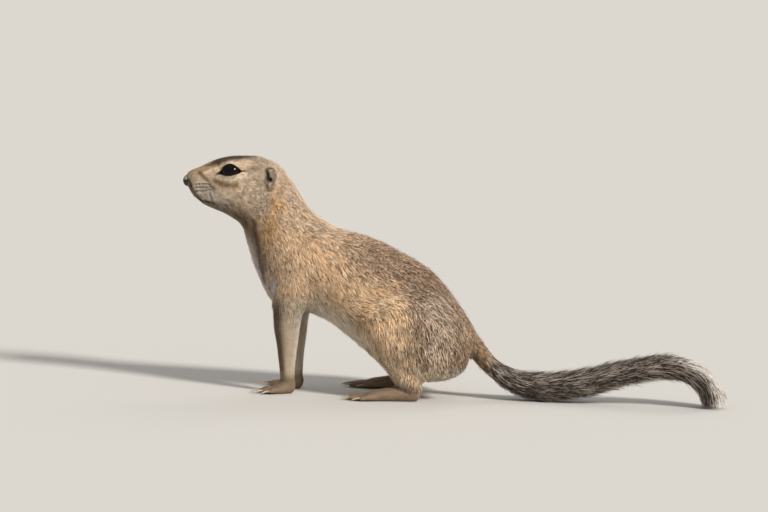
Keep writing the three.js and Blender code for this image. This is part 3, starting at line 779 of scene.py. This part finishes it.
def tuft_mesh(name, path, away, width, lifts, colour, luck, flecks, uvs, material):
    """Wedges along paths from root to tip, with three corners round the path at each bend, closed at the root
    and pointed at the tip, and with a colour for each. They are shaded mostly as the skin under them faces,
    so that the coat looks soft."""
    count, levels = len(luck), len(away)
    per = levels * 3 + 1
    verts = np.empty((count, per, 3))
    for level, (out, thick, lifted) in enumerate(zip(away, (0.5, 0.42), lifts)):
        tangent = unit(path[level + 1] - path[level])
        across = unit(np.cross(out, tangent)) * (width * thick)[:, None]
        lift = unit(np.cross(tangent, across)) * (width * lifted)[:, None]
        for corner, aside in enumerate((across, lift, -across)):
            verts[:, level * 3 + corner] = path[level] + aside
    verts[:, -1] = path[-1]
    verts[:, :, 2] = np.maximum(verts[:, :, 2], OFF_GROUND)
    faces = [(2, 1, 0)]
    for level in range(levels - 1):
        low, high = level * 3, level * 3 + 3
        for corner in range(3):
            after = (corner + 1) % 3
            faces += [(low + corner, low + after, high + after), (low + corner, high + after, high + corner)]
    top = (levels - 1) * 3
    faces += [(top, top + 1, per - 1), (top + 1, top + 2, per - 1), (top + 2, top, per - 1)]
    faces = np.array(faces)
    loops = (faces[None] + np.arange(count)[:, None, None] * per).reshape(-1)
    mesh = bpy.data.meshes.new(name)
    mesh.vertices.add(count * per)
    mesh.vertices.foreach_set("co", verts.astype(np.float32).ravel())
    mesh.loops.add(len(loops))
    mesh.loops.foreach_set("vertex_index", loops.astype(np.int32))
    mesh.polygons.add(len(loops) // 3)
    mesh.polygons.foreach_set("loop_start", np.arange(0, len(loops), 3, dtype=np.int32))
    mesh.polygons.foreach_set("use_smooth", np.ones(len(loops) // 3, bool))
    along = np.append(np.repeat(np.arange(levels) / levels, 3), 1.0)
    across = np.append(np.tile([-1.0, 0.0, 1.0], levels), 0.0)
    patch = np.stack([across, along * 2 - 1], 1) * PATCH
    spread = np.clip((uvs[:, None] + patch[None]).reshape(-1, 2), 0, 1)
    mesh.uv_layers.new(name="OFBake").data.foreach_set("uv", spread[loops].astype(np.float32).ravel())
    mesh.update()
    facing = at_corners(away, away[-1])
    mesh.normals_split_custom_set_from_vertices(unit(facing * SOFT + normals_of(mesh) * (1 - SOFT)))
    give(mesh, "tint", at_corners(colour[:-1], colour[-1]))
    give(mesh, "fleck", np.repeat(flecks, per))
    give(mesh, "lot", np.repeat(luck, per))
    give(mesh, "along", np.tile(along, count))
    made = new_object(name, mesh)
    mesh.materials.append(material)
    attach(made, "root")
    return made


def sow(faces, count):
    """Roots spread over some faces of the skin: places, normals, places on the unwrap."""
    crowd = np.where(faces, areas / (face_length * width_of(face_length)), 0)
    heap = np.cumsum(crowd)
    picked = np.searchsorted(heap, (np.arange(count) + rng.random(count)) / count * heap[-1])
    picked = np.minimum(picked, len(areas) - 1)
    share = rng.random((count, 2))
    share = np.where(share.sum(1, keepdims=True) > 1, 1 - share, share)
    weights = np.stack([1 - share.sum(1), share[:, 0], share[:, 1]], 1)[:, :, None]
    at = (skin_points[corners[picked]] * weights).sum(1)
    out = unit((skin_normals[corners[picked]] * weights).sum(1))
    return at, out, (flat[picked] * weights).sum(1)


def gathered(at, crowd):
    """For each tuft, which one of a few scattered tufts is nearest: so every so many of them go together."""
    chosen = rng.permutation(len(at))[: max(len(at) // crowd, 1)]
    locks = KDTree(len(chosen))
    for index, root in enumerate(at[chosen]):
        locks.insert(root, index)
    locks.balance()
    return chosen[np.array([locks.find(root)[1] for root in at])]


def lots(at, crowd, share):
    """The luck of each tuft, part of it shared with its neighbours, so that dark flecks have a size."""
    alone = rng.random(len(at))
    mixed = alone * (1 - share) + alone[gathered(at, crowd)] * share
    return mixed.argsort().argsort() / len(at)


def into_locks(path, at, crowd, pull):
    """Bends every few neighbours towards the tip of one of them."""
    drawn = (path[-1][gathered(at, crowd)] - path[-1]) * pull
    path[-1] = path[-1] + drawn
    if len(path) > 2:
        path[1] = path[1] + drawn * 0.3


def grow(name, faces, count, material, segments=2, unruly=0.16, crowd=9, pull=0.3,
         speck=2, together=0.85, mottle=0.2):
    """One piece of the coat: tufts over some faces of the skin, combed by the strokes."""
    at, out, uvs = sow(faces, count)
    # Each tuft follows the comb as it is a little to one side, so that no border shows in the coat.
    jitter = rng.normal(0, 1, at.shape)
    lie, length, depth = comb(at + jitter * 1.5 * MM * np.array([1, 0, 1]))
    way = unit(lie - (lie * out).sum(1)[:, None] * out)
    aside = np.cross(out, way)
    turn = rng.normal(0, unruly, count)[:, None]
    way = unit(way + aside * turn)
    length *= rng.uniform(0.72, 1.18, count)
    # One in ten of the tufts that bend stands out of the rest, as guard hair does.
    guard = np.where(rng.random(count) < 0.1 * (segments - 1), rng.uniform(1.2, 1.7, count), 1)
    height = depth * rng.uniform(0.62, 1.16, count) * guard
    width = width_of(length) * rng.uniform(0.8, 1.25, count)
    steps = [1.0] if segments == 1 else [0.45, 0.55]
    rises = [0.95] if segments == 1 else [0.72, 0.98]
    # From its root a tuft goes along the skin in steps, and rises above it at each.
    path, here, normal = [at - out * 0.25 * MM], at, out
    normals = [out]
    for step, rise in zip(steps, rises):
        forth = unit(way - (way * normal).sum(1)[:, None] * normal)
        here, normal = settled(here + forth * (length * step)[:, None])
        path.append(here + normal * (height * rise)[:, None])
        normals.append(normal)
    into_locks(path, at, crowd, pull)
    apart = jitter * np.minimum(length * 0.1, 0.8 * MM)[:, None]
    mottled = rng.uniform(1 - mottle, 1 + mottle, count)[gathered(at, speck * 2)][:, None]
    colour = [marked(place + apart, facing)[0] * mottled for place, facing in zip([at, *path[1:]], normals)]
    flecks = marked(at + apart, out)[1]
    lot, away = lots(at, speck, together), normals[:segments]
    return tuft_mesh(name, path, away, width, (0.3, 0.3), colour, lot, flecks, uvs, material)


fur, tree, shader = new_material("coat", (0.5, 0.38, 0.25, 1), 0.6, 0.25)
coloured = node(tree, "ShaderNodeGroup", node_tree=hair_colour)
for name, socket in (("tint", "Color"), ("fleck", "Fac"), ("lot", "Fac"), ("along", "Fac")):
    tree.links.new(attribute(tree, name).outputs[socket], coloured.inputs[name.capitalize()])
tree.links.new(coloured.outputs[0], shader.inputs["Base Color"])
shader.inputs["Sheen Weight"].default_value = 0.15

# The parts of the coat, by place. The eyes, the leather of the nose and the soles stay bare.
mx, mz = face_middles[:, 0] / MM, face_middles[:, 2] / MM
u, v, w, outside = eye_frame(face_middles)
hairless = (face_bare > 0.5) | (outside < 0.6) & (w > 0) & (np.hypot(u, v) < 12)
sole = (mz < 1.4) & (skin_normals[corners[:, 0], 2] < -0.4)
growing = ~hairless & ~sole
loose = rng.normal(0, 1, len(areas))  # the pieces of the coat run into each other over a few mm
on_head = growing & (mx + 2 * loose < -106) & (mz - 102 > (mx + 138) * -0.45)
off_head = growing & ~on_head
tail_faces = off_head & (face_tailed > 0.1) & (face_tailed + 0.45 * np.clip(loose, -1.5, 1.5) > 0.5)
foreleg = (mz + 3 * loose < 54) & (mx < -86)
hind_leg = (mx > -84) & ((mz < 9) & (mx < -14) | (mx < -38) & (mz + 2 * loose < 24))
on_legs = off_head & (foreleg | hind_leg)
trunk = off_head & ~tail_faces & ~on_legs
fore_part = trunk & (mx + 3 * loose < -70)
upper = mz + 3 * loose > 96 - (mx + 90) * 0.4
face = mx + 3 * loose < -122
low = mz + 3 * loose <= 62
left = face_middles[:, 1] + 2 * MM * loose < 0
grow("coat_face", on_head & face, 37000, fur, segments=1, unruly=0.2, crowd=6, pull=0.15,
     speck=5, together=0.9, mottle=0.7)
grow("coat_head_back", on_head & ~face, 15000, fur, crowd=6, pull=0.2,
     speck=4, together=0.8, mottle=0.34)
grow("coat_neck", fore_part & upper, 10500, fur, mottle=0.45)
grow("coat_back", trunk & ~fore_part & ~low, 13000, fur, mottle=0.5)
grow("coat_flanks", trunk & ~fore_part & low & (mx + 3 * loose < -34), 13500, fur, mottle=0.4)
for side_name, half_body in (("left", left), ("right", ~left)):
    grow("coat_shoulder_" + side_name, fore_part & ~upper & half_body, 11500, fur, mottle=0.3)
    haunch = trunk & ~fore_part & low & (mx + 3 * loose >= -34) & half_body
    grow("coat_haunch_" + side_name, haunch, 11500, fur, pull=0.36, mottle=0.5)
grow("coat_legs", on_legs & (mz + loose >= 9), 26000, fur, segments=1, crowd=6, pull=0.15)
grow("coat_feet", on_legs & (mz + loose < 9), 16000, fur, segments=1, crowd=5, pull=0.1)

# ---- Coat of the tail ----
# Long hair that streams along the tail: buff at the root, then dark, and pale at the tip. On the outside of
# the last bend the white tips stand out as a fringe.
tail_hair, tree, shader = new_material("coat of the tail", (0.2, 0.17, 0.15, 1), 0.5, 0.3)
along = attribute(tree, "along").outputs["Fac"]
lot = attribute(tree, "lot").outputs["Fac"]
frost = attribute(tree, "fleck").outputs["Fac"]
second = math_node(tree, "FRACT", math_node(tree, "MULTIPLY", lot, 7.31))
shifted = math_node(tree, "ADD", along, ramp_node(tree, second, 0.0, 1.0, -0.14, 0.14))
white_from = ramp_node(tree, frost, 0.0, 1.0, 0.98, 0.32)
tipped = ramp_node(tree, math_node(tree, "SUBTRACT", shifted, white_from), 0.0, 0.14)
rooted = ramp_node(tree, shifted, 0.4, 0.1)
dark, grizzled = (0.026, 0.017, 0.013, 1), (0.38, 0.32, 0.26, 1)
middle_colour = mix_node(tree, ramp_node(tree, lot, 0.6, 0.92), dark, grizzled)
base = mix_node(tree, rooted, middle_colour, attribute(tree, "tint").outputs["Color"])
white = mix_node(tree, ramp_node(tree, frost, 0.3, 0.8), (0.5, 0.44, 0.38, 1), (0.74, 0.68, 0.62, 1))
base = mix_node(tree, tipped, base, white)
tree.links.new(base, shader.inputs["Base Color"])


def grow_tail(name, faces, count):
    """One length of the tail's coat: hair that streams along its middle line."""
    at, out, uvs = sow(faces, count)
    nearest = on_tail(at)[1]
    way = tail_way[nearest]
    from_line = at - tail_line[nearest]
    radial = unit(from_line - (from_line * way).sum(1)[:, None] * way)
    start = np.linalg.norm(from_line, axis=1)
    brush = start / (1 - (1 - TAIL_CORE) * on_tail(at)[0])
    x = at[:, 0] / MM
    # The outside of the last bend has more loose hair, and its white tips reach further down.
    outside_bend = ramp(104, 146, x) * ramp(-0.1, 0.55, radial[:, 2] * way[:, 0] - radial[:, 0] * way[:, 2])
    length = rng.uniform(8, 15, count) * MM
    loose_hair = rng.random(count) < 0.14 + 0.4 * outside_bend
    reach = brush * np.where(loose_hair, rng.uniform(1.0, 1.2, count), rng.uniform(0.4, 1.0, count))
    aside = np.cross(radial, way) * (rng.normal(0, 0.15, count) * length)[:, None]
    step = np.linalg.norm(np.diff(tail_line, axis=0), axis=1).sum() / (len(tail_line) - 1)
    # A hair follows the tail's middle line, past its end if it is long, and leaves it by its own reach.
    path = [at - radial * 0.2 * MM]
    for share, lift in ((0.45, 0.66), (1.0, 1.0)):
        ahead = nearest + length * share / step
        past = np.maximum(ahead - len(tail_line) + 1, 0)[:, None]
        whole = np.minimum(ahead, len(tail_line) - 1.001).astype(int)
        part = np.minimum(ahead - whole, 1)[:, None]
        after = np.minimum(whole + 1, len(tail_line) - 1)
        line = tail_line[whole] * (1 - part) + tail_line[after] * part + tail_way[-1] * past * step
        path.append(line + radial * (start + (reach - start) * lift)[:, None] + aside * share)
    into_locks(path, at, 8, 0.35)
    width = rng.uniform(0.28, 0.5, count) * (1 - 0.3 * outside_bend) * MM
    # White shows under the middle of the tail too, and a little everywhere, most near the root.
    under = ramp(78, 92, x) * ramp(128, 116, x) * ramp(-0.3, -0.8, radial[:, 2])
    near_root = ramp(48, 20, x)
    frosted = 0.02 + (0.2 + 0.35 * near_root) * rng.random(count)
    fringe = np.maximum(np.maximum(outside_bend * rng.uniform(0.55, 1, count), under * 0.7), frosted)
    grey, sandy = linear(140, 124, 108), linear(164, 140, 112)
    colour = [grey + near_root[:, None] * (sandy - grey)] * 3
    lot, away = lots(at, 3, 0.5), [radial, radial]
    return tuft_mesh(name, path, away, width, (0.3, 0.252), colour, lot, fringe, uvs, tail_hair)


grow_tail("coat_tail_base", tail_faces & (mx < 84), 10500)
grow_tail("coat_tail_end", tail_faces & (mx >= 84), 10500)

# ---- Claws ----
# Long curved claws of pale horn, darker at the root. Each is a closed tube that narrows along an arc, from
# inside the toe to the tip of the solid that it replaces.
horn, tree, shader = new_material("horn", (0.5, 0.43, 0.34, 1), 0.35)
near_tip = attribute(tree, "along").outputs["Fac"]
horn_colour = mix_node(tree, near_tip, (0.2, 0.15, 0.11, 1), (0.62, 0.54, 0.43, 1))
tree.links.new(horn_colour, shader.inputs["Base Color"])
RINGS, ROUND = 9, 12


def tube_faces(first, rings, around):
    """The faces of a closed tube whose rings of corners follow each other, counted from the first corner."""
    last = first + (rings - 1) * around
    faces = [tuple(range(first, first + around))[::-1], tuple(range(last, last + around))]
    for at in range(first, last, around):
        for corner in range(around):
            after = (corner + 1) % around
            faces.append((at + corner, at + after, at + around + after, at + around + corner))
    return faces


for node_name in sorted(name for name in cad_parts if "claw" in name):
    # The solid tells where the claw's tip and root are, and how thick it is.
    shape = coordinates(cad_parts[node_name].data)
    low, high = np.array(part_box(node_name))
    tip = shape[shape[:, 0].argmin()]
    root = shape[shape[:, 0] > high[0] - 0.35 * (high[0] - low[0])].mean(0)
    thick = (high[2] - low[2]) * 0.3
    way = unit(tip - root)
    root = root - way * 0.9 * MM
    across = unit(np.cross(way, [0, 0, 1.0]))
    upward = np.cross(across, way)
    verts, share = [], np.linspace(0, 1, RINGS)
    for part in share:
        centre = root + (tip - root) * part + upward * (thick * 0.75 * math.sin(math.pi * part))
        radius = 0.75 * MM * (1 - part) ** 0.7 + 0.05 * MM
        turn = np.linspace(0, 2 * math.pi, ROUND, endpoint=False)[:, None]
        verts.append(centre + radius * (0.72 * np.cos(turn) * across + np.sin(turn) * upward))
    verts = np.concatenate(verts)
    verts[:, 2] = np.maximum(verts[:, 2], 0)
    mesh = bpy.data.meshes.new(node_name)
    mesh.from_pydata(verts.tolist(), [], tube_faces(0, RINGS, ROUND))
    mesh.shade_smooth()
    give(mesh, "along", np.repeat(share, ROUND))
    claw = new_object("horn_of_" + node_name, mesh)
    mesh.materials.append(horn)
    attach(claw, "root")
    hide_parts(node_name)

# ---- Nose ----
# A small dark pad of leathery skin, let into the tip of the muzzle. It is a ball drawn to the pad's shape,
# with a comma of a nostril on each side and a groove down its middle.
leather, tree, shader = new_material("leather of the nose", (0.09, 0.075, 0.07, 1), 0.5, 0.35)
place = node(tree, "ShaderNodeTexCoord").outputs["Object"]
height = node(tree, "ShaderNodeSeparateXYZ", {0: place}).outputs["Z"]
# The upper part of the pad is paler grey: a painted highlight where the light falls on its top
highlighted_top = ramp_node(tree, height, 0.1226, 0.1262)
pad_colour = mix_node(tree, highlighted_top, (0.022, 0.017, 0.016, 1), (0.3, 0.275, 0.235, 1))
pit = attribute(tree, "pit").outputs["Fac"]
tree.links.new(mix_node(tree, pit, pad_colour, (0.006, 0.004, 0.004, 1)), shader.inputs["Base Color"])
grain = node(tree, "ShaderNodeTexVoronoi", {"Vector": place, "Scale": 2600})
roughen(tree, shader, 0.35, 0.1 * MM, grain.outputs["Distance"])
low, high = np.array(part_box("nose"))
pad = bmesh.new()
bmesh.ops.create_icosphere(pad, subdivisions=5, radius=1)
unit_ball = np.array([vert.co for vert in pad.verts])
half = (high - low) / 2 * np.array([1.08, 1.04, 1.02])
centre = (high + low) / 2 + np.array([0.18, 0, 0]) * MM
level = unit_ball[:, 2]
spot = np.sign(unit_ball) * abs(unit_ball) ** np.array([0.8, 0.9, 0.95])
spot[:, 1] *= 1 - 0.34 * ramp(0.1, -1, level) - 0.1 * ramp(0.4, 1, level)
spot[:, 0] += 0.2 * ramp(0, 1, level) + 0.12 * ramp(0, -1, level)
spot = centre + spot * half
side, up = abs(spot[:, 1]) / MM, (spot[:, 2] - centre[2]) / MM
in_front = unit_ball[:, 0] < 0.3
comma = to_line(side, up, [(1.05, 0.95), (1.35, 0.2), (1.9, -0.35), (3.2, -0.1)])
pit_depth = ramp(0.62, 0.18, comma) * in_front
groove = ramp(0.42, 0.0, side) * ramp(0.9, -0.6, up) * in_front
spot -= unit_ball * (pit_depth * 1.1 + groove * 0.4)[:, None] * MM
nose_pad = shaped("nose_pad", pad)
put(nose_pad.data, spot)
nose_pad.data.shade_smooth()
give(nose_pad.data, "pit", np.clip(pit_depth * 1.3, 0, 1))
nose_pad.data.materials.append(leather)
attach(nose_pad, "root")
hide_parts("nose")

# ---- Whiskers ----
# Fine stiff bristles, rooted in rows on each side of the muzzle, that sweep back past the mouth. Each is a
# closed tube that narrows to its tip.
bristle, _, shader = new_material("whiskers", (0.7, 0.66, 0.6, 1), 0.35)
shader.inputs["Base Color"].default_value = (0.62, 0.57, 0.5, 1)
JOINS, SIDED = 7, 5
for side_name, side in SIDES.items():
    verts, faces = [], []
    for row, (start, height, number, rise) in enumerate(WHISKER_ROWS):
        for spot in range(number):
            sought = np.array([start + spot * WHISKERS_APART, side * 9, height + spot * rise + 0.7]) * MM
            best = ((skin_points - sought) ** 2) @ np.array([1, 0.02, 1]) + (skin_points[:, 1] * side < 0)
            at = skin_points[best.argmin()]
            out = skin_normals[best.argmin()]
            length = (9 + 2.2 * spot + rng.uniform(-2, 2)) * MM
            way = unit(np.array([0.5 + 0.1 * spot, side * 0.62, -0.34 - 0.1 * row]) + rng.normal(0, 0.05, 3))
            across = unit(np.cross(way, [0, 0, 1.0]))
            upward = np.cross(across, way)
            base = len(verts)
            for part in np.linspace(0, 1, JOINS):
                droop = np.array([0.22, 0, -0.16]) * length * part**2
                middle_at = at - out * 0.3 * MM + way * length * part + droop
                radius = (0.07 * (1 - part) + 0.012) * MM
                for angle in np.linspace(0, 2 * math.pi, SIDED, endpoint=False):
                    verts.append(middle_at + radius * (math.cos(angle) * across + math.sin(angle) * upward))
            faces += tube_faces(base, JOINS, SIDED)
    mesh = bpy.data.meshes.new("whiskers_" + side_name)
    mesh.from_pydata([vert.tolist() for vert in verts], [], faces)
    mesh.shade_smooth()
    whiskers = new_object("whiskers_" + side_name, mesh)
    mesh.materials.append(bristle)
    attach(whiskers, "root")

# ---- Floor ----
# A pale floor to stand on, of one matt colour. It isn't part of the squirrel.
floor_shape = bmesh.new()
bmesh.ops.create_grid(floor_shape, x_segments=1, y_segments=1, size=12)
floor = shaped("floor", floor_shape)
pale, _, shader = new_material("pale floor", (0.7, 0.68, 0.65, 1), 0.9)
shader.inputs["Base Color"].default_value = (0.62, 0.6, 0.57, 1)
floor.data.materials.append(pale)

# ---- Light ----
# Even light from all round, a soft warm sun high on the side of the tail, and a faint one from the far side.
bpy.context.scene.view_settings.view_transform = "Standard"
world = bpy.data.worlds.new("studio")
bpy.context.scene.world = world
world.use_nodes = True
sky = world.node_tree.nodes["Background"].inputs
sky["Color"].default_value = (1, 0.99, 0.97, 1)
sky["Strength"].default_value = 0.42


def soft_sun(name, comes_from, strength, angle, colour, glint):
    light = bpy.data.lights.new(name, "SUN")
    light.energy, light.angle, light.color = strength, math.radians(angle), colour
    light.specular_factor = glint
    lamp = new_object(name, light)
    lamp.rotation_euler = Vector(comes_from).to_track_quat("Z", "Y").to_euler()


soft_sun("key", (0.62, -0.55, 0.6), 3.5, 12, (1, 0.965, 0.91), 1)
soft_sun("rim", (0.3, 0.8, 0.7), 0.4, 30, (1, 0.98, 0.95), 0)

# ---- Camera ----
# It looks at the animal's left side from far off and a little above, and is tilted by a few degrees.
AIM = Vector((-0.04276, 0, 0.08367))
AWAY = 5  # metres
SEEN_WIDTH = 0.4608  # metres at the animal
SENSOR = 36  # mm
LOOKS_DOWN, TILT = math.radians(6), math.radians(2.4)
camera_data = bpy.data.cameras.new("camera")
camera = new_object("camera", camera_data)
camera_data.lens = SENSOR * AWAY / SEEN_WIDTH
camera_data.clip_end = 50
back = Vector((0, -math.cos(LOOKS_DOWN), math.sin(LOOKS_DOWN)))
camera.location = AIM + back * AWAY
camera.rotation_mode = "QUATERNION"
camera.rotation_quaternion = (-back).to_track_quat("-Z", "Y") @ Quaternion((0, 0, 1), TILT)
bpy.context.scene.camera = camera
